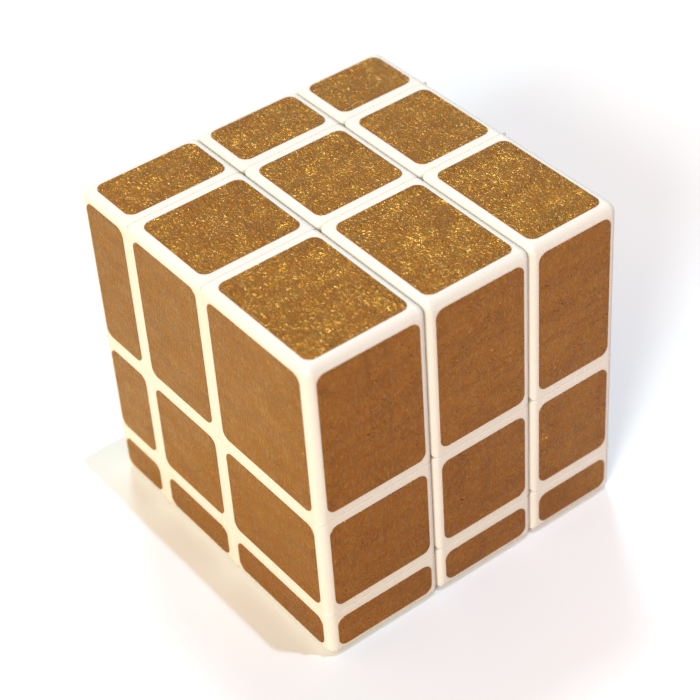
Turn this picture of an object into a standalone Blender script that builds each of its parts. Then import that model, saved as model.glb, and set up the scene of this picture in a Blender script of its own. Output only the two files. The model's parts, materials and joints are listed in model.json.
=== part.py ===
"""Mirror block cube: a 3 x 3 x 3 turning puzzle whose 26 blocks differ in thickness instead of colour.

The six centre blocks are screwed to one core through springs, and every face turns about its own
core arm. Blocks part on flat planes outside a bearing ball and on planes nearer the core inside it,
so each edge and corner is held by a foot that reaches in under its neighbours.

Frame: metres, +Z up, origin at the centre of the bottom face. +X is the right face, -Y the front face.
"""

import itertools
import math

import bmesh
import bpy
from mathutils import Matrix, Vector

MM = 0.001

# Overall cube and the thickness of its layers, each listed from the negative side of its axis
LAYERS = (
    (21 * MM, 19 * MM, 17 * MM),  # X: left, middle, right
    (25 * MM, 19 * MM, 13 * MM),  # Y: front, middle, back
    (9 * MM, 19 * MM, 29 * MM),  # Z: bottom, middle, top
)
CUBE = 57 * MM
GAP = 0.3 * MM  # running clearance between any two neighbouring pieces
OUTER_ROUND = 1.5 * MM  # rounding along the outer edges of the cube
INNER_ROUND = 0.5 * MM  # rounding of the block edges that meet a neighbour
WALL = 1.8 * MM  # moulded wall of the hollow blocks

# Bearing surfaces, measured from the core centre
CUT = 9.5 * MM  # parting planes outside the bearing ball, half the middle layer
BALL = 18.0 * MM  # bearing ball on which the blocks slide
FOOT_CUT = 6.4 * MM  # parting planes inside the bearing ball
EDGE_FOOT_IN = 12.0 * MM  # inner face of an edge foot, along its diagonal
CORNER_FOOT_IN = 13.5 * MM  # inner face of a corner foot, along its diagonal
BALL_STEPS = 32

# Corner joint: the foot closes the corner of the shell and plugs into it
CORNER_SPLIT = 21.0 * MM  # distance of the split plane from the core centre
PLUG_LENGTH = 3.0 * MM
PLUG_RADIUS = 1.7 * MM

# Stack along each core arm, as distances from the core centre
HUB_RADIUS = 6.2 * MM
ARM_SHOULDER = (3.6 * MM, 6.4 * MM)  # radius, end
ARM_TIP = (3.0 * MM, 8.0 * MM)  # radius, end
POST_START = 6.7 * MM
POST_FLOOR = (8.3 * MM, 9.8 * MM)  # wall that the spring presses on
POCKET_RADIUS = 4.6 * MM
SPRING = (10.1 * MM, 13.45 * MM)
SPRING_RADIUS = 3.2 * MM
WIRE_RADIUS = 0.25 * MM
SPRING_TURNS = 3.0
WASHER = (13.7 * MM, 14.2 * MM)
WASHER_RADII = (1.4 * MM, 3.9 * MM)
SCREW_HEAD = (14.4 * MM, 16.1 * MM)
SCREW_HEAD_RADIUS = 3.0 * MM
SCREW_RADIUS = 1.05 * MM
SCREW_TIP = 3.7 * MM

# Centre caps: square lids on the thick centres, a small round lid on the thin bottom one
WELL_FLOOR = 18.9 * MM
WELL_HALF = 7.0 * MM
LID_HALF = 7.4 * MM
LID_ROUND = 0.8 * MM
LID_THICK = 1.8 * MM
SKIRT_DEPTH = 1.5 * MM
SKIRT_WALL = 1.0 * MM
ROUND_LID_RADIUS = 5.0 * MM
ROUND_LID_THICK = 1.4 * MM
ROUND_SKIRT_DEPTH = 0.6 * MM

HALF = GAP / 2
SIDES = (("left", "right"), ("front", "back"), ("bottom", "top"))
SIDE_ORDER = ("bottom", "top", "front", "back", "left", "right")
CORE = Vector([layers[0] + layers[1] / 2 - CUBE / 2 for layers in LAYERS])
CORE.z += CUBE / 2


def reach(axis, sign):
    """Distance from the core centre to the outer face on one side."""
    return CUT + LAYERS[axis][0 if sign < 0 else 2]


def block_span(axis, sign):
    """Span of a block along an axis, from the core centre, with its clearance taken off."""
    if sign == 0:
        return -CUT + HALF, CUT - HALF
    near, far = CUT + HALF, reach(axis, sign)
    return (near, far) if sign > 0 else (-far, -near)


def signed_span(sign, near, far):
    return (near, far) if sign > 0 else (-far, -near)


def name_of(place):
    """Human name of a block from its signs on X, Y and Z, such as top_front_left."""
    sides = {SIDES[axis][sign > 0] for axis, sign in enumerate(place) if sign}
    return "_".join(side for side in SIDE_ORDER if side in sides)


# ---- scene and materials ----


def clear_scene():
    for obj in list(bpy.data.objects):
        bpy.data.objects.remove(obj, do_unlink=True)
    for mesh in list(bpy.data.meshes):
        bpy.data.meshes.remove(mesh)


def new_collection(name):
    made = bpy.data.collections.new(name)
    bpy.context.scene.collection.children.link(made)
    return made


def new_material(name, colour, metallic, roughness):
    material = bpy.data.materials.new(name)
    material.use_nodes = True
    shader = material.node_tree.nodes["Principled BSDF"]
    shader.inputs["Base Color"].default_value = (*colour, 1)
    shader.inputs["Metallic"].default_value = metallic
    shader.inputs["Roughness"].default_value = roughness
    return material


clear_scene()
PARTS = new_collection("mirror_block_cube")
CUTTERS = new_collection("cutters")
IVORY = new_material("ivory_plastic", (0.90, 0.86, 0.77), 0.0, 0.35)
NYLON = new_material("core_plastic", (0.80, 0.80, 0.78), 0.0, 0.50)
SCREW_STEEL = new_material("screw_steel", (0.62, 0.62, 0.64), 1.0, 0.30)
WASHER_STEEL = new_material("washer_steel", (0.70, 0.70, 0.71), 1.0, 0.25)
SPRING_STEEL = new_material("spring_steel", (0.45, 0.45, 0.47), 1.0, 0.35)


# ---- shape helpers: every shape is drawn about the core centre ----


def keep(bm, name, turn=None):
    """Turn a bmesh into an object whose origin is the core centre."""
    bmesh.ops.recalc_face_normals(bm, faces=bm.faces)
    mesh = bpy.data.meshes.new(name)
    bm.to_mesh(mesh)
    bm.free()
    obj = bpy.data.objects.new(name, mesh)
    obj.location = CORE
    if turn is not None:
        obj.rotation_euler = turn.to_euler()
    obj.hide_render = True
    obj.display_type = "WIRE"
    CUTTERS.objects.link(obj)
    return obj


def finish(obj, name, material, smooth=None):
    """Make a shape one of the puzzle's pieces."""
    CUTTERS.objects.unlink(obj)
    PARTS.objects.link(obj)
    obj.name = obj.data.name = name
    obj.hide_render = False
    obj.display_type = "TEXTURED"
    obj.data.materials.clear()
    obj.data.materials.append(material)
    if smooth:
        obj.data.shade_smooth()
        obj.data.set_sharp_from_angle(angle=math.radians(smooth))
    return obj


def box_mesh(spans):
    bm = bmesh.new()
    bmesh.ops.create_cube(bm, size=1.0)
    for vert in bm.verts:
        vert.co = [span[0 if part < 0 else 1] for part, span in zip(vert.co, spans)]
    return bm


def block(place, name):
    """Rounded block that fills its sector, with a larger rounding along the cube's outer edges."""
    bm = box_mesh([block_span(axis, sign) for axis, sign in enumerate(place)])
    weights = bm.edges.layers.float.new("bevel_weight_edge")
    for edge in bm.edges:
        middle = (edge.verts[0].co + edge.verts[1].co) / 2
        outer_faces = sum(
            sign != 0 and middle[axis] * sign > reach(axis, sign) - GAP
            for axis, sign in enumerate(place)
        )
        edge[weights] = 1.0 if outer_faces == 2 else INNER_ROUND / OUTER_ROUND
    made = keep(bm, name)
    bevel = made.modifiers.new("rounding", "BEVEL")
    bevel.width = OUTER_ROUND
    bevel.limit_method = "WEIGHT"
    bevel.segments = 2
    return combine(made)


def cut_by_plane(bm, normal, distance, keep_far):
    """Cut a closed bmesh by the plane at this distance along a normal, and close it again."""
    bmesh.ops.bisect_plane(
        bm,
        geom=list(bm.verts) + list(bm.edges) + list(bm.faces),
        plane_co=normal * distance,
        plane_no=normal,
        clear_inner=keep_far,
        clear_outer=not keep_far,
    )
    bmesh.ops.holes_fill(bm, edges=[e for e in bm.edges if e.is_boundary])
    return bm


def ball(radius, name, steps=BALL_STEPS):
    bm = bmesh.new()
    bmesh.ops.create_uvsphere(bm, u_segments=steps, v_segments=steps // 2, radius=radius)
    return keep(bm, name)


def rod_mesh(direction, start, end, radius, segments):
    """Closed cylinder along a direction through the core centre."""
    turn = direction.to_track_quat("Z", "X").to_matrix().to_4x4()
    bm = bmesh.new()
    bmesh.ops.create_cone(
        bm,
        cap_ends=True,
        segments=segments,
        radius1=radius,
        radius2=radius,
        depth=end - start,
        matrix=turn @ Matrix.Translation((0, 0, (start + end) / 2)),
    )
    return bm


def lathe(profile, steps, name, turn=None):
    """Spin a closed outline, listed as (radius, height), about the arm's axis."""
    bm = bmesh.new()
    verts = [bm.verts.new((radius, 0, height)) for radius, height in profile]
    edges = [bm.edges.new(pair) for pair in zip(verts, verts[1:])]
    if profile[0][0] > 0:
        edges.append(bm.edges.new((verts[-1], verts[0])))
    bmesh.ops.spin(
        bm,
        geom=verts + edges,
        axis=(0, 0, 1),
        cent=(0, 0, 0),
        angle=2 * math.pi,
        steps=steps,
    )
    bmesh.ops.remove_doubles(bm, verts=bm.verts, dist=0.001 * MM)
    return keep(bm, name, turn)


def combine(base, *steps):
    """Apply Booleans in order, each an (operation, other shape) pair, and drop helpers used once."""
    for operation, other in steps:
        modifier = base.modifiers.new(operation.lower(), "BOOLEAN")
        modifier.operation = operation
        modifier.solver = "EXACT"
        modifier.object = other
    graph = bpy.context.evaluated_depsgraph_get()
    mesh = bpy.data.meshes.new_from_object(base.evaluated_get(graph))
    base.modifiers.clear()
    base.data = mesh
    for _, other in steps:
        if other not in SHARED and other.name in CUTTERS.objects:
            bpy.data.objects.remove(other, do_unlink=True)
    return base


# ---- bearing shapes that several blocks share ----

SHARED = []
FOOT_HALF = FOOT_CUT - HALF - 0.05 * MM
INNER_BALL = ball(BALL - HALF, "inner_ball")
OUTER_BALL = ball(BALL + HALF, "outer_ball")
SHARED += [INNER_BALL, OUTER_BALL]
FAR = (-30 * MM, 30 * MM)
NECK = (-(FOOT_CUT - HALF), FOOT_CUT - HALF)
CHEEKS, SHOULDERS = [], []
for axis in range(3):
    # the ball without a slab across the axis clears an edge block of the corner feet
    cheek = ball(BALL + HALF, f"cheek_{axis}")
    slab = keep(box_mesh([NECK if a == axis else FAR for a in range(3)]), "slab")
    CHEEKS.append(combine(cheek, ("DIFFERENCE", slab)))
    # the ball without a square column along the axis clears a centre block of all feet
    shoulder = ball(BALL + HALF, f"shoulder_{axis}")
    column = keep(box_mesh([FAR if a == axis else NECK for a in range(3)]), "column")
    SHOULDERS.append(combine(shoulder, ("DIFFERENCE", column)))
SHARED += CHEEKS + SHOULDERS


# ---- core, and the screw, spring and washer on each arm ----


def make_core():
    core = ball(HUB_RADIUS, "core", steps=20)
    shoulder_radius, shoulder_end = ARM_SHOULDER
    tip_radius, tip_end = ARM_TIP
    half = [(shoulder_radius, shoulder_end), (tip_radius, shoulder_end), (tip_radius, tip_end)]
    outline = [(0, -tip_end)] + [(r, -z) for r, z in reversed(half)] + half + [(0, tip_end)]
    steps = []
    for axis in range(3):
        direction = Vector([float(a == axis) for a in range(3)])
        arm = lathe(outline, 16, "arm", direction.to_track_quat("Z", "X"))
        steps.append(("UNION", arm))
    for axis, sign in itertools.product(range(3), (-1, 1)):
        direction = Vector([float(a == axis) * sign for a in range(3)])
        hole = rod_mesh(direction, SCREW_TIP - GAP, tip_end + GAP, SCREW_RADIUS + GAP, 12)
        steps.append(("DIFFERENCE", keep(hole, "screw_hole")))
    finish(combine(core, *steps), "core_spider", NYLON, smooth=40)


def make_screw(name, turn):
    head_start, head_end = SCREW_HEAD
    head_radius, radius = SCREW_HEAD_RADIUS, SCREW_RADIUS
    outline = [
        (0, SCREW_TIP),
        (0.4 * radius, SCREW_TIP + 0.2 * MM),
        (radius, SCREW_TIP + 1.1 * MM),
        (radius, head_start),
        (head_radius, head_start),
        (head_radius, head_start + 0.8 * MM),
        (0.75 * head_radius, head_end - 0.15 * MM),
        (0, head_end),
    ]
    screw = lathe(outline, 16, name, turn)
    depth = (head_end - 0.9 * MM, head_end + 1.0 * MM)
    long, short = (-1.7 * MM, 1.7 * MM), (-0.35 * MM, 0.35 * MM)
    steps = [
        ("DIFFERENCE", keep(box_mesh([long, short, depth]), "slot", turn)),
        ("DIFFERENCE", keep(box_mesh([short, long, depth]), "slot", turn)),
    ]
    finish(combine(screw, *steps), name, SCREW_STEEL, smooth=40)


def make_spring(name, turn):
    """Compression spring, coiled as a bevelled poly curve with filled ends."""
    per_turn = 10
    count = round(SPRING_TURNS * per_turn) + 1
    bottom, top = SPRING[0] + WIRE_RADIUS, SPRING[1] - WIRE_RADIUS
    curve = bpy.data.curves.new(name, "CURVE")
    curve.dimensions = "3D"
    spline = curve.splines.new("POLY")
    spline.points.add(count - 1)
    for i, point in enumerate(spline.points):
        angle = 2 * math.pi * i / per_turn
        height = bottom + (top - bottom) * i / (count - 1)
        point.co = (
            SPRING_RADIUS * math.cos(angle), SPRING_RADIUS * math.sin(angle), height, 1
        )
    curve.bevel_depth = WIRE_RADIUS
    curve.bevel_resolution = 2
    curve.use_fill_caps = True
    coil = bpy.data.objects.new(name, curve)
    CUTTERS.objects.link(coil)
    graph = bpy.context.evaluated_depsgraph_get()
    mesh = bpy.data.meshes.new_from_object(coil.evaluated_get(graph))
    bpy.data.objects.remove(coil, do_unlink=True)
    bm = bmesh.new()
    bm.from_mesh(mesh)
    bmesh.ops.remove_doubles(bm, verts=bm.verts, dist=0.001 * MM)
    finish(keep(bm, name, turn), name, SPRING_STEEL, smooth=60)


def make_washer(name, turn):
    inner, outer = WASHER_RADII
    start, end = WASHER
    outline = [(inner, start), (outer, start), (outer, end), (inner, end)]
    finish(lathe(outline, 20, name, turn), name, WASHER_STEEL, smooth=40)


# ---- centre blocks and their caps ----


def centre_spans(axis, sign, half, near, far):
    return [signed_span(sign, near, far) if a == axis else (-half, half) for a in range(3)]


def make_centre(axis, sign, name, turn):
    direction = Vector([float(a == axis) * sign for a in range(3)])
    outer = reach(axis, sign)
    base = block([sign if a == axis else 0 for a in range(3)], name)
    post = box_mesh(centre_spans(axis, sign, FOOT_HALF, POST_START, CUT + 3 * MM))
    floor_start, floor_end = POST_FLOOR
    pocket_end = outer + GAP
    steps = [("DIFFERENCE", SHOULDERS[axis]), ("UNION", keep(post, "post"))]
    thick = outer - LID_THICK > WELL_FLOOR + GAP
    if thick:
        pocket_end = WELL_FLOOR + GAP
        well = box_mesh(centre_spans(axis, sign, WELL_HALF, WELL_FLOOR, outer + GAP))
        rebate = box_mesh(
            centre_spans(axis, sign, LID_HALF + GAP, outer - LID_THICK - GAP, outer + GAP)
        )
    else:
        well = None
        rebate = rod_mesh(
            direction,
            outer - ROUND_LID_THICK - 0.2 * MM,
            outer + GAP,
            ROUND_LID_RADIUS + GAP,
            28,
        )
    pocket = rod_mesh(direction, floor_end, pocket_end, POCKET_RADIUS, 28)
    hole = rod_mesh(direction, floor_start - GAP, floor_end + GAP, SCREW_RADIUS + GAP, 16)
    socket = rod_mesh(direction, POST_START - GAP, floor_start, ARM_TIP[0] + GAP, 24)
    for cutter in (pocket, hole, socket, well, rebate):
        if cutter is not None:
            steps.append(("DIFFERENCE", keep(cutter, "cutter")))
    finish(combine(base, *steps), f"centre_{name}_block", IVORY, smooth=40)

    if thick:
        square = (-LID_HALF, LID_HALF)
        lid = box_mesh([square, square, (outer - LID_THICK, outer)])
        uprights = [e for e in lid.edges if abs(e.verts[0].co.z - e.verts[1].co.z) > GAP]
        bmesh.ops.bevel(
            lid, geom=uprights, offset=LID_ROUND, segments=2, profile=0.5, affect="EDGES"
        )
        out, inn = WELL_HALF - GAP, WELL_HALF - GAP - SKIRT_WALL
        bottom = outer - LID_THICK - SKIRT_DEPTH
        skirt = box_mesh([(-out, out), (-out, out), (bottom, outer - LID_THICK + GAP)])
        hollow = box_mesh([(-inn, inn), (-inn, inn), (bottom - GAP, outer - LID_THICK)])
        cap = combine(
            keep(lid, "lid", turn),
            ("UNION", keep(skirt, "skirt", turn)),
            ("DIFFERENCE", keep(hollow, "hollow", turn)),
        )
    else:
        under = outer - ROUND_LID_THICK
        skirt_end = under - ROUND_SKIRT_DEPTH
        skirt_out = POCKET_RADIUS - GAP
        skirt_in = skirt_out - 0.8 * MM
        outline = [
            (0, under),
            (skirt_in, under),
            (skirt_in, skirt_end),
            (skirt_out, skirt_end),
            (skirt_out, under),
            (ROUND_LID_RADIUS, under),
            (ROUND_LID_RADIUS, outer),
            (0, outer),
        ]
        cap = lathe(outline, 28, "lid", turn)
    finish(cap, f"centre_{name}_cap", IVORY, smooth=30)


# ---- edge blocks: hollow, with a foot on the inner diagonal ----


def make_edge(place):
    axis = place.index(0)
    name = f"edge_{name_of(place)}"
    normal = Vector(place).normalized()
    foot = box_mesh(
        [
            (-FOOT_HALF, FOOT_HALF) if s == 0 else signed_span(s, FOOT_CUT + HALF, BALL + GAP)
            for s in place
        ]
    )
    cut_by_plane(foot, normal, EDGE_FOOT_IN, keep_far=True)
    foot = combine(keep(foot, "foot"), ("INTERSECT", INNER_BALL))

    spans = []
    for a, s in enumerate(place):
        low, high = block_span(a, s)
        spans.append((low + WALL, high - WALL))
    cavity = cut_by_plane(box_mesh(spans), normal, BALL + HALF + 1.6 * MM, keep_far=True)

    # slot through the foot into the cavity, where the mould core comes out
    frame = Matrix((Vector(place).cross(axis_vector(axis)).normalized(), axis_vector(axis), normal))
    slot = box_mesh([(-1.6 * MM, 1.6 * MM), (-3 * MM, 3 * MM), (EDGE_FOOT_IN - MM, BALL + 3 * MM)])
    bmesh.ops.transform(slot, matrix=frame.transposed().to_4x4(), verts=slot.verts)

    edge = combine(
        block(place, name),
        ("DIFFERENCE", CHEEKS[axis]),
        ("UNION", foot),
        ("DIFFERENCE", keep(cavity, "cavity")),
        ("DIFFERENCE", keep(slot, "slot")),
    )
    finish(edge, name, IVORY, smooth=40)


def axis_vector(axis):
    return Vector([float(a == axis) for a in range(3)])


# ---- corner blocks: a hollow shell closed by a foot ----


def make_corner(place):
    name = f"corner_{name_of(place)}"
    normal = Vector(place).normalized()
    inner_tip = box_mesh([signed_span(s, 0, BALL * 2) for s in place])
    cut_by_plane(inner_tip, normal, CORNER_SPLIT + HALF, keep_far=False)
    spans = []
    for a, s in enumerate(place):
        low, high = block_span(a, s)
        spans.append((low + WALL, high - WALL))
    bore = rod_mesh(normal, CORNER_SPLIT - MM, CORNER_SPLIT + 2.5 * MM, PLUG_RADIUS + GAP, 16)
    shell = combine(
        block(place, "shell"),
        ("DIFFERENCE", keep(inner_tip, "inner_tip")),
        ("DIFFERENCE", keep(box_mesh(spans), "cavity")),
        ("DIFFERENCE", keep(bore, "bore")),
    )
    finish(shell, f"{name}_shell", IVORY, smooth=40)

    foot = box_mesh([signed_span(s, FOOT_CUT + HALF, BALL + GAP) for s in place])
    cut_by_plane(foot, normal, CORNER_FOOT_IN, keep_far=True)
    tip = box_mesh([signed_span(s, CUT + HALF, BALL + GAP) for s in place])
    cut_by_plane(tip, normal, CORNER_SPLIT - HALF, keep_far=False)
    plug_end = CORNER_SPLIT + PLUG_LENGTH
    plug = rod_mesh(normal, CORNER_SPLIT - 2 * MM, plug_end, PLUG_RADIUS, 16)
    foot = combine(
        keep(foot, "foot"),
        ("INTERSECT", INNER_BALL),
        ("UNION", keep(tip, "tip")),
        ("UNION", keep(plug, "plug")),
    )
    finish(foot, f"{name}_foot", IVORY, smooth=40)


# ---- assembly ----

make_core()
for axis, sign in itertools.product(range(3), (-1, 1)):
    side = SIDES[axis][sign > 0]
    outward = axis_vector(axis) * sign
    turn = outward.to_track_quat("Z", "X")
    make_screw(f"screw_{side}", turn)
    make_spring(f"spring_{side}", turn)
    make_washer(f"washer_{side}", turn)
    make_centre(axis, sign, side, turn)
for place in itertools.product((-1, 0, 1), repeat=3):
    faces = sum(map(abs, place))
    if faces == 2:
        make_edge(place)
    elif faces == 3:
        make_corner(place)
for helper in SHARED:
    bpy.data.objects.remove(helper, do_unlink=True)
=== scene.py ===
"""Looks of the mirror block cube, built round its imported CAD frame.

Every block is redrawn with finer roundings and true bearing surfaces, and gets its foil stickers.
Shapes are drawn about the core centre, which the joints give, and rest in the frame's axes:
metres, +Z up, +X the right face, -Y the front face.
"""

import itertools
import json
import math

import bmesh
import bpy
from mathutils import Matrix, Vector, noise


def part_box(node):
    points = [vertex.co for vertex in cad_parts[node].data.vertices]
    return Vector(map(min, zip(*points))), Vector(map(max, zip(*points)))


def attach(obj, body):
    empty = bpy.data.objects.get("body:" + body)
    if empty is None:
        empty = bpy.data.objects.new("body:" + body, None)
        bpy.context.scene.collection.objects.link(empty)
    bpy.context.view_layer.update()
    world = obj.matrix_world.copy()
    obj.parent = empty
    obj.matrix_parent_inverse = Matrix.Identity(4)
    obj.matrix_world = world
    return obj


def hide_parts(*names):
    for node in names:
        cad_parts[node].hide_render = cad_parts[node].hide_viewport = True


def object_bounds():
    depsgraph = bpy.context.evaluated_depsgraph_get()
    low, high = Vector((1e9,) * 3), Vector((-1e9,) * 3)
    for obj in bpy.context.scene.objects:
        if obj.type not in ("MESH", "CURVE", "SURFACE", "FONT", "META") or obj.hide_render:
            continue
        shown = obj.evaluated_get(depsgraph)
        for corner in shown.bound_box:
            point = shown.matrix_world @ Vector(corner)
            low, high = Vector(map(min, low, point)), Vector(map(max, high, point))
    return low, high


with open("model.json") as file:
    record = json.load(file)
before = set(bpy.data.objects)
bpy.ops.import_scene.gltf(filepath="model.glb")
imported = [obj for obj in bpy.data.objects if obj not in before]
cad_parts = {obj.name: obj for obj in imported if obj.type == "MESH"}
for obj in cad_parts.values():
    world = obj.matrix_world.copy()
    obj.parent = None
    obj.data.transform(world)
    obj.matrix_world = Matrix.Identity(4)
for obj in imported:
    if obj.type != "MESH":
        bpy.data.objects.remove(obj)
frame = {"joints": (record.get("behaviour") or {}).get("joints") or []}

MM = 0.001
cad_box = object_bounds()

# ---- what the frame says: core centre, layers and clearances ----

SIDES = (("left", "right"), ("front", "back"), ("bottom", "top"))
SIDE_ORDER = ("bottom", "top", "front", "back", "left", "right")
CORE = Vector(next(j for j in frame["joints"] if j["name"] == "turn_top")["pos_m"])


def about_core(node):
    low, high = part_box(node)
    return low - CORE, high - CORE


LOWEST, HIGHEST = cad_box[0] - CORE, cad_box[1] - CORE
CENTRE_HALF = about_core("centre_top_block")[1].x
CORNER_NEAR = about_core("corner_top_back_right_shell")[0].x
CUT = (CENTRE_HALF + CORNER_NEAR) / 2  # parting planes, from the core centre
HALF = (CORNER_NEAR - CENTRE_HALF) / 2  # half of the running clearance

# ---- finer sizes of the visible shapes ----

FOIL = 0.10 * MM  # sticker thickness, taken off the plastic face below it
SEAMS = (0.15 * MM, 0.03 * MM, 0.03 * MM)  # gaps between layers across X, Y and Z
OUTER_ROUND = 1.5 * MM
SEAM_ROUNDS = (1.1 * MM, 0.15 * MM, 0.15 * MM)  # along the seams across X, Y and Z
CORNER_ROUNDS = (0.9 * MM, 0.3 * MM)  # upright edges beside an X seam, and the others
ROUND_STEPS = 6
WALL = 1.8 * MM
FOIL_MARGIN_OUT = 1.71 * MM
FOIL_MARGIN_IN = 1.45 * MM
FOIL_ROUND = 1.48 * MM
FOIL_GRID = 0.7 * MM
FOIL_EDGE = 0.025 * MM  # rounding of the sticker's rim
FOIL_WALL = 0.075 * MM  # height at which the rounding starts
FOIL_SINK = 0.02 * MM  # its underside lies this deep in the plastic
FOIL_DIP = 0.012 * MM  # half of how far its face can lie below its full thickness
FOIL_STRIDE = (13.7, 7.9, 3.1)  # mm of pattern between one sticker and the next

BALL = 18.0 * MM
FOOT_CUT = 6.4 * MM
EDGE_FOOT_IN = 12.0 * MM
CORNER_FOOT_IN = 13.5 * MM
FOOT_WALL = 1.6 * MM  # between the bearing ball and the hollow of an edge block
SLOT_HALF, SLOT_ROUND = (1.6 * MM, 3 * MM), 0.4 * MM  # opening through an edge block's foot
BALL_STEPS = 96
CORNER_SPLIT = 21.0 * MM
PLUG_LENGTH = 3.0 * MM
PLUG_RADIUS = 1.7 * MM
FOOT_ROUND = 0.25 * MM
ROD_STEPS = 48

HUB_RADIUS = 6.2 * MM
ARM_SHOULDER = (3.6 * MM, 6.4 * MM)
ARM_TIP = (3.0 * MM, 8.0 * MM)
ARM_EDGE = 0.25 * MM  # chamfer at the end of each step
POST_START = 6.7 * MM
POST_FLOOR = (8.3 * MM, 9.8 * MM)
POCKET_RADIUS = 4.6 * MM
SPRING = (10.1 * MM, 13.45 * MM)
SPRING_RADIUS = 3.2 * MM
WIRE_RADIUS = 0.25 * MM
SPRING_TURNS, SPRING_CLOSED = 3.6, 0.8  # all turns, and the turns of each closed end
SPRING_LIFT = 2.05  # rise of a closed turn, in wire radii
WASHER = (13.7 * MM, 14.2 * MM)
WASHER_RADII = (1.4 * MM, 3.9 * MM)
WASHER_EDGE = 0.1 * MM
SCREW_HEAD = (14.4 * MM, 16.1 * MM)
SCREW_HEAD_RADIUS = 3.0 * MM
SCREW_HEAD_EDGE = 0.12 * MM  # chamfer under the head
SCREW_HEAD_RIM = 0.8 * MM  # height at which the head starts to dome
SCREW_RADIUS = 1.05 * MM
SCREW_TIP = 3.7 * MM
SCREW_TAPER, SCREW_TIP_SHARE = 1.1 * MM, 0.35  # length of the pointed end, radius share at its tip
THREAD_PITCH, THREAD_DEPTH = 0.7 * MM, 0.16 * MM
THREAD_HALF = 0.35  # half of a crest, as a share of the pitch
THREAD_END, THREAD_FADE = 1.2 * MM, 0.4 * MM  # plain part under the head, and the run-out
RECESS_RADII, RECESS_DEPTH = (0.25 * MM, 0.55 * MM), 1.6 * MM
RECESS_STRETCH = 4.2
WELL_FLOOR = 18.9 * MM
WELL_HALF = 7.0 * MM
LID_HALF = 7.4 * MM
LID_ROUND = 0.8 * MM
LID_EDGE = 0.15 * MM
LID_THICK = 1.8 * MM
SKIRT_DEPTH = 1.5 * MM
SKIRT_WALL = 1.0 * MM
ROUND_LID_RADIUS = 5.0 * MM
ROUND_LID_THICK = 1.4 * MM
ROUND_LID_EDGE = 0.12 * MM
ROUND_SKIRT_DEPTH = 0.6 * MM
ROUND_SKIRT_WALL = 0.8 * MM

WORK = bpy.data.collections.new("work")
bpy.context.scene.collection.children.link(WORK)


def axis_vector(axis):
    return Vector([float(a == axis) for a in range(3)])


def reach(axis, sign):
    """Distance from the core centre to the plastic face under the stickers."""
    return (HIGHEST[axis] if sign > 0 else -LOWEST[axis]) - FOIL


def signed_span(sign, near, far):
    return (near, far) if sign > 0 else (-far, -near)


def block_span(axis, sign):
    gap = SEAMS[axis] / 2
    if sign == 0:
        return -CUT + gap, CUT - gap
    return signed_span(sign, CUT + gap, reach(axis, sign))


def name_of(place):
    sides = {SIDES[axis][sign > 0] for axis, sign in enumerate(place) if sign}
    return "_".join(side for side in SIDE_ORDER if side in sides)


# ---- procedural materials ----

# sockets of a Mix node set to colours: factor, both colours and the result
MIX_INPUTS, MIX_OUTPUT = (0, 6, 7), 2


class Look:
    """A Principled material whose inputs are driven by small node chains."""

    def __init__(self, name, **values):
        self.material = bpy.data.materials.new(name)
        self.material.use_nodes = True
        self.tree = self.material.node_tree
        self.shader = self.tree.nodes["Principled BSDF"]
        for key, value in values.items():
            self.plug(value, self.shader.inputs[key.replace("_", " ")])

    def plug(self, source, socket):
        if isinstance(source, bpy.types.NodeSocket):
            self.tree.links.new(source, socket)
        elif isinstance(source, tuple) and len(source) == 3 and len(socket.default_value) == 4:
            socket.default_value = (*source, 1)
        else:
            socket.default_value = source

    def node(self, kind, inputs=(), out=0, **settings):
        made = self.tree.nodes.new("ShaderNode" + kind)
        for key, value in settings.items():
            setattr(made, key, value)
        for key, value in dict(inputs).items():
            self.plug(value, made.inputs[key])
        return made.outputs[out]

    def scaled(self, vector, scale, turn=0.0):
        """Coordinates scaled along each axis, after a turn about Z."""
        return self.node(
            "Mapping", {"Vector": vector, "Scale": scale, "Rotation": (0, 0, turn)}
        )

    def noise(self, vector, scale, detail=2.0, rough=0.5, distortion=0.0):
        return self.node(
            "TexNoise",
            {
                "Vector": vector,
                "Scale": scale,
                "Detail": detail,
                "Roughness": rough,
                "Distortion": distortion,
            },
        )

    def span(self, value, low, high, to_low=0.0, to_high=1.0):
        return self.node(
            "MapRange",
            {0: value, 1: low, 2: high, 3: to_low, 4: to_high},
        )

    def math(self, operation, a, b=0.5):
        return self.node("Math", {0: a, 1: b}, operation=operation)

    def blend(self, share, a, b):
        made = self.tree.nodes.new("ShaderNodeMix")
        made.data_type = "RGBA"
        for key, value in zip(MIX_INPUTS, (share, a, b)):
            self.plug(value, made.inputs[key])
        return made.outputs[MIX_OUTPUT]

    def bump(self, height, distance, strength=1.0, under=None):
        inputs = {"Height": height, "Distance": distance, "Strength": strength}
        if under is not None:
            inputs["Normal"] = under
        return self.node("Bump", inputs)

    def set(self, **values):
        for key, value in values.items():
            self.plug(value, self.shader.inputs[key.replace("_", " ")])
        return self.material


def plastic(name, tone, shade, roughness):
    look = Look(name)
    place = look.node("TexCoord", out=3)
    broad = look.noise(place, 60, 3)
    grain = look.noise(place, 2600, 3, 0.6)
    scuff = look.noise(look.scaled(place, (900, 900, 90), 0.6), 1.0, 4, 0.65, 0.4)
    mottled = look.blend(look.span(broad, 0.35, 0.7), tone, shade)
    rough = look.math(
        "ADD",
        look.span(broad, 0.3, 0.7, roughness - 0.03, roughness + 0.04),
        look.span(scuff, 0.5, 0.75, 0.0, 0.07),
    )
    ripple = look.bump(look.noise(place, 350, 2), 0.02 * MM, 0.6)
    return look.set(
        Base_Color=mottled,
        Roughness=rough,
        Normal=look.bump(grain, 0.004 * MM, 0.7, ripple),
        IOR=1.5,
        Subsurface_Weight=0.08,
        Subsurface_Radius=(1.0, 0.8, 0.6),
        Subsurface_Scale=0.6 * MM,
    )


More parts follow.
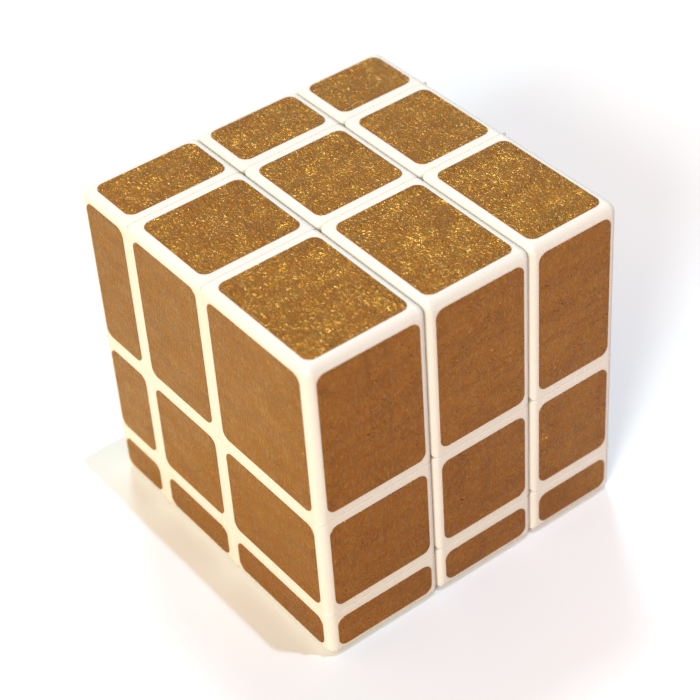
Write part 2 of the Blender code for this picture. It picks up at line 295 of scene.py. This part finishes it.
def foil():
    """Gold leaf with short wrinkles that glint, broad folds and long creases; scales are per mm.
    The creases are painted shade only, dark lines with no shape, and the wrinkles carry a painted
    highlight colour.
    """
    look = Look("gold_foil")
    place = look.node("Attribute", attribute_name="foil_mm", out=1)
    patch = look.noise(place, 0.3, 2, 0.6, 0.5)
    swirl = look.node("TexNoise", {"Vector": place, "Scale": 0.16, "Detail": 1.0}, out=1)
    bent = look.node(
        "VectorMath", {0: swirl, 1: (2.5, 2.5, 0.0), 2: place}, operation="MULTIPLY_ADD"
    )
    wrinkle = look.noise(look.scaled(bent, (1.0, 0.42, 1.0), 0.5), 1.9, 1, 0.5, 0.6)
    ridge = look.math("ABSOLUTE", look.math("SUBTRACT", wrinkle, 0.5))
    grit = look.noise(place, 2.8, 1, 0.5, 0.3)
    fold = look.noise(look.scaled(bent, (0.12, 0.5, 1.0), 0.7), 1.0, 1, 0.5, 0.6)
    crease_shade = look.noise(look.scaled(bent, (0.55, 0.06, 1.0), 0.2), 1.0, 2, 0.5, 0.4)
    height = look.math("ADD", look.math("MULTIPLY", ridge, 2.2), look.math("MULTIPLY", grit, 0.5))
    height = look.math("ADD", height, look.math("MULTIPLY", fold, 0.8))
    colour = look.blend(
        look.span(fold, 0.38, 0.66), (0.385, 0.130, 0.004), (0.33, 0.106, 0.003)
    )
    # painted shade: long dark streaks where creases would be; they have no bump or shape of their
    # own
    colour = look.blend(look.span(crease_shade, 0.60, 0.72, 0.0, 0.4), colour, (0.24, 0.070, 0.005))
    # painted highlight: the colour is pulled towards a pale yellow everywhere but along the
    # wrinkles' valley lines, to make the glints yellower
    colour = look.blend(look.span(ridge, 0.0, 0.16, 0.0, 0.3), colour, (0.56, 0.30, 0.05))
    wrinkled = look.bump(height, 0.36 * MM, look.span(patch, 0.36, 0.62, 0.5, 1.0))
    return look.set(
        Base_Color=colour,
        Metallic=1.0,
        Roughness=look.span(patch, 0.35, 0.65, 0.27, 0.35),
        Specular_Tint=(0.97, 1.0, 0.86),
        Coat_Weight=0.3,
        Coat_Roughness=0.14,
        Coat_Normal=wrinkled,
        Normal=wrinkled,
    )


def steel(name, tone, shade, roughness, brushed):
    look = Look(name)
    place = look.node("TexCoord", out=3)
    lines = look.noise(look.scaled(place, brushed), 1.0, 3, 0.6)
    spots = look.noise(place, 900, 3)
    return look.set(
        Base_Color=look.blend(look.span(spots, 0.35, 0.7), tone, shade),
        Metallic=1.0,
        Roughness=look.span(lines, 0.3, 0.7, roughness - 0.06, roughness + 0.08),
        Normal=look.bump(lines, 0.006 * MM, 0.5),
    )


IVORY = plastic("ivory_plastic", (0.80, 0.775, 0.70), (0.78, 0.75, 0.67), 0.27)
NYLON = plastic("core_plastic", (0.80, 0.80, 0.77), (0.74, 0.74, 0.71), 0.46)
GOLD = foil()
SCREW_STEEL = steel("screw_steel", (0.62, 0.62, 0.64), (0.5, 0.5, 0.53), 0.3, (3000, 3000, 300))
WASHER_STEEL = steel("washer_steel", (0.7, 0.7, 0.71), (0.58, 0.58, 0.6), 0.26, (400, 4000, 400))
SPRING_STEEL = steel("spring_steel", (0.42, 0.42, 0.44), (0.3, 0.3, 0.33), 0.34, (300, 300, 5000))

# ---- shape helpers ----


def keep(bm, name, turn=None):
    bmesh.ops.recalc_face_normals(bm, faces=bm.faces)
    mesh = bpy.data.meshes.new(name)
    bm.to_mesh(mesh)
    bm.free()
    if turn is not None:
        mesh.transform(turn.to_matrix().to_4x4())
    obj = bpy.data.objects.new(name, mesh)
    WORK.objects.link(obj)
    return obj


def applied(obj):
    """Replace an object's mesh by what its modifiers make of it."""
    graph = bpy.context.evaluated_depsgraph_get()
    mesh = bpy.data.meshes.new_from_object(obj.evaluated_get(graph))
    obj.modifiers.clear()
    obj.data = mesh
    return obj


def combine(base, *steps):
    for operation, other in steps:
        modifier = base.modifiers.new(operation.lower(), "BOOLEAN")
        modifier.operation = operation
        modifier.solver = "EXACT"
        modifier.object = other
    applied(base)
    for _, other in steps:
        if other not in SHARED and other.name in WORK.objects:
            bpy.data.objects.remove(other, do_unlink=True)
    return base


def rounded(obj, width, limit="ANGLE", steps=3):
    bevel = obj.modifiers.new("rounding", "BEVEL")
    bevel.width = width
    bevel.limit_method = limit
    bevel.angle_limit = math.radians(50)
    bevel.segments = steps
    return applied(obj)


def box_mesh(spans):
    bm = bmesh.new()
    bmesh.ops.create_cube(bm, size=1.0)
    for vert in bm.verts:
        vert.co = [span[0 if part < 0 else 1] for part, span in zip(vert.co, spans)]
    return bm


def block(place, name):
    """Rounded block that fills its sector; each edge is rounded by what lies on its two sides."""
    bm = box_mesh([block_span(axis, sign) for axis, sign in enumerate(place)])
    weights = bm.edges.layers.float.new("bevel_weight_edge")
    for edge in bm.edges:
        outer, inner = 0, []
        for face in edge.link_faces:
            axis = max(range(3), key=lambda a: abs(face.normal[a]))
            sign = 1 if face.normal[axis] > 0 else -1
            if place[axis] == sign:
                outer += 1
            else:
                inner.append(axis)
        if outer == 2:
            width = OUTER_ROUND
        elif outer == 1:
            width = SEAM_ROUNDS[inner[0]]
        else:
            width = CORNER_ROUNDS[0 if 0 in inner else 1]
        edge[weights] = width / OUTER_ROUND
    made = keep(bm, name)
    return rounded(made, OUTER_ROUND, "WEIGHT", ROUND_STEPS)


def cut_by_plane(bm, normal, distance, keep_far):
    bmesh.ops.bisect_plane(
        bm,
        geom=list(bm.verts) + list(bm.edges) + list(bm.faces),
        plane_co=normal * distance,
        plane_no=normal,
        clear_inner=keep_far,
        clear_outer=not keep_far,
    )
    bmesh.ops.holes_fill(bm, edges=[e for e in bm.edges if e.is_boundary])
    return bm


def ball(radius, name):
    bm = bmesh.new()
    bmesh.ops.create_uvsphere(
        bm, u_segments=BALL_STEPS, v_segments=BALL_STEPS // 2, radius=radius
    )
    return keep(bm, name)


def rod_mesh(direction, start, end, radius, segments=ROD_STEPS):
    turn = direction.to_track_quat("Z", "X").to_matrix().to_4x4()
    bm = bmesh.new()
    bmesh.ops.create_cone(
        bm,
        cap_ends=True,
        segments=segments,
        radius1=radius,
        radius2=radius,
        depth=end - start,
        matrix=turn @ Matrix.Translation((0, 0, (start + end) / 2)),
    )
    return bm


def lathe(profile, name, turn=None, steps=64):
    bm = bmesh.new()
    verts = [bm.verts.new((radius, 0, height)) for radius, height in profile]
    edges = [bm.edges.new(pair) for pair in zip(verts, verts[1:])]
    if profile[0][0] > 0:
        edges.append(bm.edges.new((verts[-1], verts[0])))
    bmesh.ops.spin(
        bm,
        geom=verts + edges,
        axis=(0, 0, 1),
        cent=(0, 0, 0),
        angle=2 * math.pi,
        steps=steps,
    )
    bmesh.ops.remove_doubles(bm, verts=bm.verts, dist=0.001 * MM)
    return keep(bm, name, turn)


def publish(obj, name, material, body, nodes=(), sharp=35):
    """Move a finished shape from the core centre into the frame and fix it to its body."""
    WORK.objects.unlink(obj)
    bpy.context.scene.collection.objects.link(obj)
    obj.name = obj.data.name = name
    obj.data.transform(Matrix.Translation(CORE))
    obj.data.materials.clear()
    obj.data.materials.append(material)
    obj.data.shade_smooth()
    obj.data.set_sharp_from_angle(angle=math.radians(sharp))
    normals = obj.modifiers.new("even_normals", "WEIGHTED_NORMAL")
    normals.keep_sharp = True
    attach(obj, body)
    if nodes:
        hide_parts(*nodes)
    return obj


SHARED = []
FOOT_HALF = FOOT_CUT - HALF - 0.05 * MM
INNER_BALL = ball(BALL - HALF, "inner_ball")
SHARED += [INNER_BALL]
FAR = (-30 * MM, 30 * MM)
NECK = (-(FOOT_CUT - HALF), FOOT_CUT - HALF)
CHEEKS, SHOULDERS = [], []
for axis in range(3):
    cheek = ball(BALL + HALF, f"cheek_{axis}")
    slab = keep(box_mesh([NECK if a == axis else FAR for a in range(3)]), "slab")
    CHEEKS.append(combine(cheek, ("DIFFERENCE", slab)))
    shoulder = ball(BALL + HALF, f"shoulder_{axis}")
    column = keep(box_mesh([FAR if a == axis else NECK for a in range(3)]), "column")
    SHOULDERS.append(combine(shoulder, ("DIFFERENCE", column)))
SHARED += CHEEKS + SHOULDERS

# ---- core, screws, springs and washers ----


def make_core():
    bm = bmesh.new()
    bmesh.ops.create_uvsphere(bm, u_segments=64, v_segments=32, radius=HUB_RADIUS)
    core = keep(bm, "core")
    shoulder_radius, shoulder_end = ARM_SHOULDER
    tip_radius, tip_end = ARM_TIP
    edge = ARM_EDGE
    half = [
        (shoulder_radius, shoulder_end - edge),
        (shoulder_radius - edge, shoulder_end),
        (tip_radius, shoulder_end),
        (tip_radius, tip_end - edge),
        (tip_radius - edge, tip_end),
    ]
    outline = [(0, -tip_end)] + [(r, -z) for r, z in reversed(half)] + half + [(0, tip_end)]
    steps = []
    for axis in range(3):
        arm = lathe(outline, "arm", axis_vector(axis).to_track_quat("Z", "X"), 48)
        steps.append(("UNION", arm))
    for axis, sign in itertools.product(range(3), (-1, 1)):
        hole = rod_mesh(
            axis_vector(axis) * sign, SCREW_TIP - 2 * HALF, tip_end + 2 * HALF,
            SCREW_RADIUS + 2 * HALF, 32,
        )
        steps.append(("DIFFERENCE", keep(hole, "screw_hole")))
    publish(combine(core, *steps), "core_moulding", NYLON, "core",
            ["core_spider"])


def threaded_shank():
    """Screw body with a single-start thread, drawn as one helical surface along Z."""
    around, rows = 32, 96
    start, end = SCREW_TIP, SCREW_HEAD[0] + 0.2 * MM
    bm = bmesh.new()
    rings = []
    for row in range(rows + 1):
        height = start + (end - start) * row / rows
        taper = min(1.0, (height - start) / SCREW_TAPER + SCREW_TIP_SHARE)
        fade = min(1.0, max(0.0, (SCREW_HEAD[0] - THREAD_END - height) / THREAD_FADE))
        ring = []
        for step in range(around):
            angle = 2 * math.pi * step / around
            phase = (height / THREAD_PITCH - step / around) % 1.0
            crest = max(0.0, 1 - abs(phase - 0.5) / THREAD_HALF)
            radius = (SCREW_RADIUS - THREAD_DEPTH * (1 - crest * fade)) * taper
            ring.append(bm.verts.new((radius * math.cos(angle), radius * math.sin(angle), height)))
        rings.append(ring)
    for low, high in zip(rings, rings[1:]):
        for i in range(around):
            j = (i + 1) % around
            bm.faces.new((low[i], low[j], high[j], high[i]))
    bm.faces.new(reversed(rings[0]))
    bm.faces.new(rings[-1])
    return keep(bm, "shank")


def make_screw(side, turn):
    head_start, head_end = SCREW_HEAD
    r = SCREW_HEAD_RADIUS
    height = head_end - head_start
    dome = [
        (r * math.cos(t), head_start + SCREW_HEAD_RIM + (height - SCREW_HEAD_RIM) * math.sin(t))
        for t in [math.radians(a) for a in range(0, 90, 9)]
    ]
    outline = [
        (0, head_start), (r - SCREW_HEAD_EDGE, head_start), (r, head_start + SCREW_HEAD_EDGE)
    ]
    head = lathe(outline + dome + [(0, head_end)], "head")
    steps = [("UNION", threaded_shank())]
    for turned in (0, 1):
        arm = bmesh.new()
        bmesh.ops.create_cone(
            arm, cap_ends=True, segments=4, radius1=RECESS_RADII[0], radius2=RECESS_RADII[1],
            depth=RECESS_DEPTH,
            matrix=Matrix.Translation((0, 0, head_end - 0.2 * MM))
            @ Matrix.Rotation(math.pi / 2 * turned, 4, "Z")
            @ Matrix.Diagonal((RECESS_STRETCH, 1, 1, 1))
            @ Matrix.Rotation(math.pi / 4, 4, "Z"),
        )
        steps.append(("DIFFERENCE", keep(arm, "recess")))
    screw = combine(head, *steps)
    # the union can leave a hair-wide hole where the thread runs into the head
    bm = bmesh.new()
    bm.from_mesh(screw.data)
    bmesh.ops.holes_fill(bm, edges=[e for e in bm.edges if e.is_boundary])
    bm.to_mesh(screw.data)
    bm.free()
    screw.data.transform(turn.to_matrix().to_4x4())
    publish(screw, f"screw_{side}_threaded", SCREW_STEEL, "core",
            [f"screw_{side}"])


def make_spring(side, turn):
    """Spring with closed end coils, swept along its helix."""
    per_turn, around = 40, 12
    turns, closed = SPRING_TURNS, SPRING_CLOSED
    bottom, top = SPRING[0] + WIRE_RADIUS, SPRING[1] - WIRE_RADIUS
    flat = SPRING_LIFT * WIRE_RADIUS * closed
    count = round(per_turn * turns)
    bm = bmesh.new()
    rings = []
    for i in range(count + 1):
        t = turns * i / count
        if t < closed:
            height = bottom + flat * t / closed
        elif t > turns - closed:
            height = top - flat * (turns - t) / closed
        else:
            share = (t - closed) / (turns - 2 * closed)
            share = share * share * (3 - 2 * share) * 0.25 + share * 0.75
            height = bottom + flat + (top - bottom - 2 * flat) * share
        angle = 2 * math.pi * t
        out = Vector((math.cos(angle), math.sin(angle), 0))
        ring = []
        for step in range(around):
            a = 2 * math.pi * step / around
            offset = out * (WIRE_RADIUS * math.cos(a)) + Vector((0, 0, WIRE_RADIUS * math.sin(a)))
            ring.append(bm.verts.new(out * SPRING_RADIUS + Vector((0, 0, height)) + offset))
        rings.append(ring)
    for low, high in zip(rings, rings[1:]):
        for i in range(around):
            j = (i + 1) % around
            bm.faces.new((low[i], low[j], high[j], high[i]))
    bm.faces.new(rings[0])
    bm.faces.new(rings[-1])
    publish(keep(bm, "spring", turn), f"spring_{side}_coil", SPRING_STEEL,
            "core", [f"spring_{side}"])


def make_washer(side, turn):
    inner, outer = WASHER_RADII
    start, end = WASHER
    e = WASHER_EDGE
    outline = [
        (inner + e, start), (outer - e, start), (outer, start + e), (outer, end - e),
        (outer - e, end), (inner + e, end), (inner, end - e), (inner, start + e),
    ]
    publish(lathe(outline, "washer", turn), f"washer_{side}_turned",
            WASHER_STEEL, "core", [f"washer_{side}"], sharp=50)


# ---- centre blocks and caps ----


def centre_spans(axis, sign, half, near, far):
    return [signed_span(sign, near, far) if a == axis else (-half, half) for a in range(3)]


def make_centre(axis, sign, side, turn):
    direction = axis_vector(axis) * sign
    outer = reach(axis, sign)
    gap = 2 * HALF
    base = block([sign if a == axis else 0 for a in range(3)], side)
    post = box_mesh(centre_spans(axis, sign, FOOT_HALF, POST_START, CUT + 3 * MM))
    post = rounded(keep(post, "post"), FOOT_ROUND)
    floor_start, floor_end = POST_FLOOR
    pocket_end = outer + gap
    steps = [("DIFFERENCE", SHOULDERS[axis]), ("UNION", post)]
    thick = outer - LID_THICK > WELL_FLOOR + gap
    if thick:
        pocket_end = WELL_FLOOR + gap
        well = box_mesh(centre_spans(axis, sign, WELL_HALF, WELL_FLOOR, outer + gap))
        rebate = box_mesh(
            centre_spans(axis, sign, LID_HALF + gap, outer - LID_THICK - gap, outer + gap)
        )
    else:
        well = None
        rebate = rod_mesh(
            direction, outer - ROUND_LID_THICK - 0.2 * MM, outer + gap, ROUND_LID_RADIUS + gap, 64
        )
    pocket = rod_mesh(direction, floor_end, pocket_end, POCKET_RADIUS)
    hole = rod_mesh(direction, floor_start - gap, floor_end + gap, SCREW_RADIUS + gap)
    socket = rod_mesh(direction, POST_START - gap, floor_start, ARM_TIP[0] + gap)
    for cutter in (pocket, hole, socket, well, rebate):
        if cutter is not None:
            steps.append(("DIFFERENCE", keep(cutter, "cutter")))
    publish(combine(base, *steps), f"centre_{side}_moulding", IVORY,
            f"centre_{side}", [f"centre_{side}_block"])

    if thick:
        square = (-LID_HALF, LID_HALF)
        lid = box_mesh([square, square, (outer - LID_THICK, outer)])
        uprights = [e for e in lid.edges if abs(e.verts[0].co.z - e.verts[1].co.z) > MM]
        bmesh.ops.bevel(
            lid, geom=uprights, offset=LID_ROUND, segments=6, profile=0.5, affect="EDGES"
        )
        lid = rounded(keep(lid, "lid", turn), LID_EDGE)
        out, inn = WELL_HALF - gap, WELL_HALF - gap - SKIRT_WALL
        bottom = outer - LID_THICK - SKIRT_DEPTH
        skirt = box_mesh([(-out, out), (-out, out), (bottom, outer - LID_THICK + gap)])
        hollow = box_mesh([(-inn, inn), (-inn, inn), (bottom - gap, outer - LID_THICK)])
        cap = combine(
            lid,
            ("UNION", keep(skirt, "skirt", turn)),
            ("DIFFERENCE", keep(hollow, "hollow", turn)),
        )
    else:
        under = outer - ROUND_LID_THICK
        skirt_end = under - ROUND_SKIRT_DEPTH
        skirt_out = POCKET_RADIUS - gap
        skirt_in = skirt_out - ROUND_SKIRT_WALL
        e = ROUND_LID_EDGE
        outline = [
            (0, under), (skirt_in, under), (skirt_in, skirt_end), (skirt_out, skirt_end),
            (skirt_out, under), (ROUND_LID_RADIUS, under), (ROUND_LID_RADIUS, outer - e),
            (ROUND_LID_RADIUS - e, outer), (0, outer),
        ]
        cap = lathe(outline, "lid", turn)
    publish(cap, f"centre_{side}_lid", IVORY, f"centre_{side}",
            [f"centre_{side}_cap"])


# ---- edge and corner blocks ----


def make_edge(place):
    axis = place.index(0)
    name = name_of(place)
    normal = Vector(place).normalized()
    foot = box_mesh(
        [
            (-FOOT_HALF, FOOT_HALF) if s == 0 else signed_span(s, FOOT_CUT + HALF, BALL + 2 * HALF)
            for s in place
        ]
    )
    cut_by_plane(foot, normal, EDGE_FOOT_IN, keep_far=True)
    foot = combine(keep(foot, "foot"), ("INTERSECT", INNER_BALL))
    spans = []
    for a, s in enumerate(place):
        low, high = block_span(a, s)
        spans.append((low + WALL, high - WALL))
    cavity = cut_by_plane(box_mesh(spans), normal, BALL + HALF + FOOT_WALL, keep_far=True)
    across = Vector(place).cross(axis_vector(axis)).normalized()
    turn = Matrix((across, axis_vector(axis), normal)).transposed().to_4x4()
    slot_x, slot_y = SLOT_HALF
    slot = box_mesh(
        [(-slot_x, slot_x), (-slot_y, slot_y), (EDGE_FOOT_IN - MM, BALL + 3 * MM)]
    )
    bmesh.ops.transform(slot, matrix=turn, verts=slot.verts)
    slot = rounded(keep(slot, "slot"), SLOT_ROUND)
    edge = combine(
        block(place, name),
        ("DIFFERENCE", CHEEKS[axis]),
        ("UNION", foot),
        ("DIFFERENCE", keep(cavity, "cavity")),
        ("DIFFERENCE", slot),
    )
    publish(edge, f"edge_{name}_moulding", IVORY, f"edge_{name}",
            [f"edge_{name}"])


def make_corner(place):
    name = name_of(place)
    body = f"corner_{name}"
    normal = Vector(place).normalized()
    inner_tip = box_mesh([signed_span(s, 0, BALL * 2) for s in place])
    cut_by_plane(inner_tip, normal, CORNER_SPLIT + HALF, keep_far=False)
    spans = []
    for a, s in enumerate(place):
        low, high = block_span(a, s)
        spans.append((low + WALL, high - WALL))
    bore = rod_mesh(normal, CORNER_SPLIT - MM, CORNER_SPLIT + 2.5 * MM, PLUG_RADIUS + 2 * HALF)
    shell = combine(
        block(place, "shell"),
        ("DIFFERENCE", keep(inner_tip, "inner_tip")),
        ("DIFFERENCE", keep(box_mesh(spans), "cavity")),
        ("DIFFERENCE", keep(bore, "bore")),
    )
    publish(shell, f"{body}_moulding", IVORY, body, [f"{body}_shell"])

    foot = box_mesh([signed_span(s, FOOT_CUT + HALF, BALL + 2 * HALF) for s in place])
    cut_by_plane(foot, normal, CORNER_FOOT_IN, keep_far=True)
    foot = combine(keep(foot, "foot"), ("INTERSECT", INNER_BALL))
    tip = box_mesh([signed_span(s, CUT + HALF, BALL + 2 * HALF) for s in place])
    cut_by_plane(tip, normal, CORNER_SPLIT - HALF, keep_far=False)
    plug = rod_mesh(normal, CORNER_SPLIT - 2 * MM, CORNER_SPLIT + PLUG_LENGTH, PLUG_RADIUS)
    foot = combine(foot, ("UNION", keep(tip, "tip")), ("UNION", keep(plug, "plug")))
    publish(foot, f"{body}_bearing_foot", IVORY, body, [f"{body}_foot"])


# ---- foil stickers ----


def foil_outline(low, high, inset):
    """Rounded rectangle as a list of points, drawn this far inside the sticker's edge."""
    radius = max(FOIL_ROUND - inset, 0.1 * MM)
    corners = []
    for cx, cy, start in (
        (high[0], high[1], 0), (low[0], high[1], 90), (low[0], low[1], 180), (high[0], low[1], 270)
    ):
        sx = 1 if cx == high[0] else -1
        sy = 1 if cy == high[1] else -1
        centre = (cx - sx * (inset + radius), cy - sy * (inset + radius))
        for step in range(11):
            angle = math.radians(start + 9 * step)
            corners.append(
                (centre[0] + radius * math.cos(angle), centre[1] + radius * math.sin(angle))
            )
    return corners


def make_foil(place, axis, number):
    sign = place[axis]
    across, up = [a for a in range(3) if a != axis]
    low, high = [], []
    for a in (across, up):
        s = place[a]
        if s == 0:
            low.append(-CUT + FOIL_MARGIN_IN)
            high.append(CUT - FOIL_MARGIN_IN)
        else:
            near, far = CUT + FOIL_MARGIN_IN, reach(a, s) + FOIL - FOIL_MARGIN_OUT
            a_low, a_high = signed_span(s, near, far)
            low.append(a_low)
            high.append(a_high)
    face = reach(axis, sign)
    bm = bmesh.new()
    loops = []
    for inset, height in ((0.0, -FOIL_SINK), (0.0, FOIL_WALL), (FOIL_EDGE, FOIL)):
        ring = []
        for x, y in foil_outline(low, high, inset):
            ring.append(bm.verts.new((x, y, height)))
        loops.append(ring)
    count = len(loops[0])
    for lower, upper in zip(loops, loops[1:]):
        for i in range(count):
            j = (i + 1) % count
            bm.faces.new((lower[i], lower[j], upper[j], upper[i]))
    bm.faces.new(reversed(loops[0]))
    bm.faces.new(loops[-1])
    # the face of the sticker is sliced into a grid, so that it can be uneven
    for a in (0, 1):
        cuts = max(2, round((high[a] - low[a]) / FOIL_GRID))
        for i in range(1, cuts):
            place_cut = Vector((0, 0, 0))
            place_cut[a] = low[a] + (high[a] - low[a]) * i / cuts
            faces = [f for f in bm.faces if f.calc_center_median().z > FOIL * 0.9]
            parts = set(faces)
            for f in faces:
                parts.update(f.edges)
                parts.update(f.verts)
            bmesh.ops.bisect_plane(
                bm, geom=list(parts), plane_co=place_cut, plane_no=axis_vector(a)
            )
    local = bm.verts.layers.float_vector.new("foil_mm")
    offset = Vector([step * number for step in FOIL_STRIDE])
    for vert in bm.verts:
        vert[local] = vert.co / MM + offset
        if vert.co.z > FOIL * 0.99 and not any(
            f.calc_center_median().z < FOIL * 0.9 for f in vert.link_faces
        ):
            wave = noise.noise(vert[local] * 0.33) + 0.5 * noise.noise(vert[local] * 0.9)
            vert.co.z -= FOIL_DIP * (1 + wave)
    obj = keep(bm, "foil")
    columns = [axis_vector(across), axis_vector(up), axis_vector(axis) * sign]
    turn = Matrix(columns).transposed().to_4x4()
    turn.translation = axis_vector(axis) * sign * face
    flip = turn.determinant() < 0
    obj.data.transform(turn)
    if flip:
        obj.data.flip_normals()
    kind = ("", "centre", "edge", "corner")[sum(map(abs, place))]
    block_name = f"{kind}_{name_of(place)}"
    side = SIDES[axis][sign > 0]
    publish(obj, f"foil_{side}_of_{block_name}", GOLD, block_name, sharp=30)


# ---- assembly ----

make_core()
for axis, sign in itertools.product(range(3), (-1, 1)):
    side = SIDES[axis][sign > 0]
    turn = (axis_vector(axis) * sign).to_track_quat("Z", "X")
    make_screw(side, turn)
    make_spring(side, turn)
    make_washer(side, turn)
    make_centre(axis, sign, side, turn)
number = 0
for place in itertools.product((-1, 0, 1), repeat=3):
    faces = sum(map(abs, place))
    if faces == 2:
        make_edge(place)
    elif faces == 3:
        make_corner(place)
    for axis in range(3):
        if place[axis]:
            number += 1
            make_foil(place, axis, number)
for helper in SHARED:
    bpy.data.objects.remove(helper, do_unlink=True)
bpy.data.collections.remove(WORK)

# ---- floor, light and camera ----


FLOOR_SIZE = 3.0
FLOOR_DROP = 0.03 * MM  # gap under the cube, so that the two don't flicker
FLOOR_ACROSS = (0.7, -0.7, 0.0)  # from the left of the cube to its front


def make_floor():
    """White sheet. It looks whiter to the camera than the light that it throws on the cube, and
    left of the cube the camera sees it tinted cooler, a painted tint of the cube's shadow there.
    """
    look = Look("pale_floor")
    place = look.node("TexCoord", out=3)
    cloud = look.noise(place, 9, 3)
    fine = look.noise(place, 700, 3)
    across = look.node(
        "VectorMath", {0: place, 1: FLOOR_ACROSS}, out=1, operation="DOT_PRODUCT"
    )
    # painted shadow tint: to the camera the floor left of the cube is less red, which shows only in
    # the cube's shadow there
    seen = look.blend(
        look.span(across, 0.0, 0.04),
        look.blend(look.span(cloud, 0.3, 0.7), (0.81, 0.88, 0.90), (0.838, 0.91, 0.93)),
        look.blend(look.span(cloud, 0.3, 0.7), (0.88, 0.88, 0.87), (0.91, 0.91, 0.905)),
    )
    paths = look.tree.nodes.new("ShaderNodeLightPath")
    bounce = look.blend(
        look.span(across, -0.03, 0.03), (0.75, 0.70, 0.50), (0.65, 0.585, 0.60)
    )
    material = look.set(
        Base_Color=look.blend(paths.outputs["Is Camera Ray"], bounce, seen),
        Roughness=0.75,
        Normal=look.bump(fine, 0.02 * MM, 0.4),
    )
    bm = bmesh.new()
    bmesh.ops.create_grid(bm, x_segments=8, y_segments=8, size=FLOOR_SIZE)
    mesh = bpy.data.meshes.new("floor")
    bm.to_mesh(mesh)
    bm.free()
    mesh.materials.append(material)
    floor = bpy.data.objects.new("floor", mesh)
    floor.location.z = cad_box[0].z - FLOOR_DROP
    bpy.context.scene.collection.objects.link(floor)


def aim(azimuth, elevation):
    """Unit vector towards a light or camera, with azimuth 0 in front of the cube."""
    a, e = math.radians(azimuth), math.radians(elevation)
    return Vector((math.sin(a) * math.cos(e), -math.cos(a) * math.cos(e), math.sin(e)))


GLOW_EDGE, GLOW_CORE = 0.45, 0.98  # cosines of the angles where a glow starts and is full


def sun(name, azimuth, elevation, strength, colour, width):
    """Lamp far away; its width is the angle in degrees that it fills."""
    light = bpy.data.lights.new(name, "SUN")
    light.energy = strength
    light.color = colour
    light.angle = math.radians(width)
    obj = bpy.data.objects.new(name, light)
    obj.rotation_mode = "QUATERNION"
    obj.rotation_quaternion = aim(azimuth, elevation).to_track_quat("Z", "Y")
    bpy.context.scene.collection.objects.link(obj)


def make_room(glows):
    """World lit by soft glows (azimuth, elevation and colour) that the camera sees as white."""
    world = bpy.data.worlds.new("room")
    bpy.context.scene.world = world
    world.use_nodes = True
    nodes, links = world.node_tree.nodes, world.node_tree.links
    sky = nodes.new("ShaderNodeTexCoord").outputs["Generated"]
    seen = nodes.new("ShaderNodeMix")
    seen.data_type = "RGBA"
    share, total, white = (seen.inputs[key] for key in MIX_INPUTS)
    white.default_value = (1, 1, 1, 1)
    links.new(nodes.new("ShaderNodeLightPath").outputs["Is Camera Ray"], share)
    links.new(seen.outputs[MIX_OUTPUT], nodes["Background"].inputs["Color"])
    for azimuth, elevation, colour in glows:
        facing = nodes.new("ShaderNodeVectorMath")
        facing.operation = "DOT_PRODUCT"
        facing.inputs[1].default_value = aim(azimuth, elevation)
        spread = nodes.new("ShaderNodeMapRange")
        spread.interpolation_type = "SMOOTHSTEP"
        spread.inputs[1].default_value, spread.inputs[2].default_value = GLOW_EDGE, GLOW_CORE
        tinted = nodes.new("ShaderNodeVectorMath")
        tinted.operation = "MULTIPLY_ADD"
        tinted.inputs[0].default_value = colour
        tinted.inputs[2].default_value = (0, 0, 0)
        links.new(sky, facing.inputs[0])
        links.new(facing.outputs["Value"], spread.inputs[0])
        links.new(spread.outputs[0], tinted.inputs[1])
        links.new(tinted.outputs[0], total)
        total = tinted.inputs[2]


make_floor()
sun("overhead_lamp", 42, 81.5, 1.26, (0.655, 0.734, 1.0), 1.0)
sun("side_lamp", -58, 30, 2.0, (0.85, 0.985, 1.0), 14)
sun("window_lamp", 150, 58, 0.85, (0.8, 1.0, 1.1), 10.5)
WARM = (0.985, 0.635, 0.365)
GLOW_HEIGHT = 18
make_room(
    [
        (-145, GLOW_HEIGHT, WARM),
        (-90, GLOW_HEIGHT, [0.7 * part for part in WARM]),
        (-35, GLOW_HEIGHT, (1.08, 0.635, 0.345)),
        (130, GLOW_HEIGHT, (0.635, 0.80, 0.80)),
    ]
)
bpy.context.scene.view_settings.view_transform = "Standard"

CAMERA_AZIMUTH, CAMERA_ELEVATION, CAMERA_ROLL = -34.87, 40.19, -4.34
CAMERA_DISTANCE = 327.3 * MM
CAMERA_SHIFT = (0.787 * MM, 1.156 * MM)  # of the cube's middle from the picture's, right and up
CAMERA_LENS = 108.0
CAMERA_STOP = 30.0
FOCUS_NEARER = 18.6 * MM  # the sharp plane lies this much before the middle of the cube
middle = (cad_box[0] + cad_box[1]) / 2
back = aim(CAMERA_AZIMUTH, CAMERA_ELEVATION)
right = Vector((0, 0, 1)).cross(back).normalized()
up = back.cross(right)
roll = math.radians(CAMERA_ROLL)
right, up = (
    math.cos(roll) * right + math.sin(roll) * up,
    math.cos(roll) * up - math.sin(roll) * right,
)
camera = bpy.data.objects.new("camera", bpy.data.cameras.new("camera"))
camera.data.lens = CAMERA_LENS
camera.data.clip_start, camera.data.clip_end = 0.01, 20
camera.data.dof.use_dof = True
camera.data.dof.focus_distance = CAMERA_DISTANCE - FOCUS_NEARER
camera.data.dof.aperture_fstop = CAMERA_STOP
turn = Matrix((right, up, back)).transposed().to_4x4()
turn.translation = (
    middle + back * CAMERA_DISTANCE - CAMERA_SHIFT[0] * right - CAMERA_SHIFT[1] * up
)
camera.matrix_world = turn
bpy.context.scene.collection.objects.link(camera)
bpy.context.scene.camera = camera
